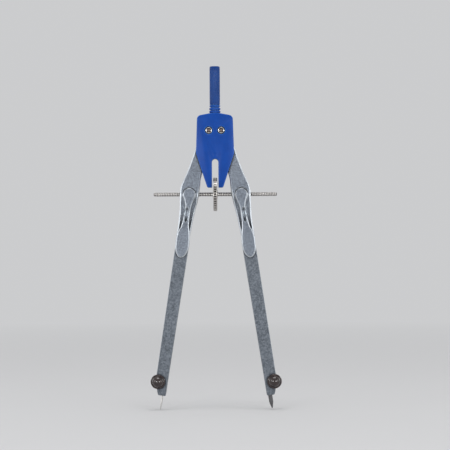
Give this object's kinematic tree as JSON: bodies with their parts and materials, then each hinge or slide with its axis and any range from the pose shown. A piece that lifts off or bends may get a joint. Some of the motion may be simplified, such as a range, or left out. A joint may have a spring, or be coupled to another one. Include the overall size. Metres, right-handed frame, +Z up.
{
  "type": "drawing compass",
  "caption": "Bow compass with a blue head and handle, jointed silver legs spread by a threaded spindle and centre wheel, a needle and a clamped lead.",
  "frame": {"origin": "on the middle line of the head and handle, level with the needle point that stands on the paper", "axes": "+Z up the handle, +X from the needle leg to the lead leg, -Y towards the front with the clamp knobs"},
  "size_m": [0.063, 0.0162, 0.1653],
  "materials": {
    "head_blue": "matte blue lacquer, fine grain",
    "handle_blue": "satin blue with fine lengthwise lines",
    "leg_silver": "satin silver-grey metallic paint with bright edges",
    "bright_steel": "bright nickel plate",
    "spindle_steel": "rolled thread, nickel plate",
    "needle_steel": "ground and polished",
    "knob_smoke": "glossy smoky black-brown",
    "graphite": "dark graphite with a soft sheen"
  },
  "bodies": {
    "head": {"handle": "handle_blue", "handle_stud": "bright_steel", "neck_collar": "handle_blue", "head_top_block": "head_blue", "head_front_plate": "head_blue", "head_back_plate": "head_blue", "left_pivot_rivet": "bright_steel", "right_pivot_rivet": "bright_steel", "left_pivot_washers": "bright_steel", "right_pivot_washers": "bright_steel"},
    "left_leg": {"left_upper_leg": "leg_silver", "left_knee_pin": "bright_steel"},
    "right_leg": {"right_upper_leg": "leg_silver", "right_knee_pin": "bright_steel"},
    "left_nut": {"left_spindle_nut": "bright_steel"},
    "right_nut": {"right_spindle_nut": "bright_steel"},
    "spindle_rod": {"spindle": "spindle_steel"},
    "wheel": {"adjusting_wheel": "bright_steel"},
    "left_lower_leg": {"left_shin": "leg_silver"},
    "right_lower_leg": {"right_shin": "leg_silver"},
    "left_thumb_screw": {"left_clamp_knob": "knob_smoke", "left_clamp_screw": "bright_steel"},
    "right_thumb_screw": {"right_clamp_knob": "knob_smoke", "right_clamp_screw": "bright_steel"},
    "needle_point": {"needle": "needle_steel"},
    "lead_point": {"lead": "graphite"}
  },
  "joints": [
    {"name": "wheel_turn", "type": "hinge", "parent": "spindle_rod", "child": "wheel", "pos_m": [0, 0, 0.10367], "axis": [1, 0, 0], "range_deg": [-2362.5, 5625]},
    {"name": "left_leg_spread", "type": "hinge", "parent": "head", "child": "left_leg", "pos_m": [-0.003, 0, 0.13443], "axis": [0, 1, 0], "range_deg": [-10.5, 25]},
    {"name": "left_nut_turn", "type": "hinge", "parent": "left_leg", "child": "left_nut", "pos_m": [-0.01252, 0, 0.10367], "axis": [0, -1, 0], "range_deg": [-10.5, 25]},
    {"name": "left_knee_fold", "type": "hinge", "parent": "left_leg", "child": "left_lower_leg", "pos_m": [-0.01604, 0, 0.07926], "axis": [0, -1, 0], "range_deg": [0, 35]},
    {"name": "left_clamp_turn", "type": "hinge", "parent": "left_lower_leg", "child": "left_thumb_screw", "pos_m": [-0.02802, 0, 0.01372], "axis": [0, 1, 0], "range_deg": [0, 360]},
    {"name": "right_leg_spread", "type": "hinge", "parent": "head", "child": "right_leg", "pos_m": [0.003, 0, 0.13443], "axis": [0, -1, 0], "range_deg": [-10.5, 25]},
    {"name": "right_nut_turn", "type": "hinge", "parent": "right_leg", "child": "right_nut", "pos_m": [0.01252, 0, 0.10367], "axis": [0, 1, 0], "range_deg": [-10.5, 25]},
    {"name": "right_knee_fold", "type": "hinge", "parent": "right_leg", "child": "right_lower_leg", "pos_m": [0.01604, 0, 0.07926], "axis": [0, 1, 0], "range_deg": [0, 35]},
    {"name": "right_clamp_turn", "type": "hinge", "parent": "right_lower_leg", "child": "right_thumb_screw", "pos_m": [0.02802, 0, 0.01372], "axis": [0, 1, 0], "range_deg": [0, 360]},
    {"name": "spindle_travel", "type": "slide", "parent": "left_nut", "child": "spindle_rod", "axis": [1, 0, 0], "range_m": [-0.00525, 0.0125]},
    {"name": "needle_slide", "type": "slide", "parent": "left_lower_leg", "child": "needle_point", "axis": [-0.1538, 0, -0.9881], "range_m": [-0.003, 0.002]},
    {"name": "lead_slide", "type": "slide", "parent": "right_lower_leg", "child": "lead_point", "axis": [0.1538, 0, -0.9881], "range_m": [-0.003, 0.006]}
  ],
  "couplings": [
    {"joint": "right_leg_spread", "follows": "left_leg_spread", "ratio": 1},
    {"joint": "left_nut_turn", "follows": "left_leg_spread", "ratio": 1},
    {"joint": "right_nut_turn", "follows": "left_leg_spread", "ratio": 1},
    {"joint": "wheel_turn", "follows": "left_leg_spread", "ratio": 225},
    {"joint": "spindle_travel", "follows": "left_leg_spread", "m_per_rad": 0.028648}
  ]
}
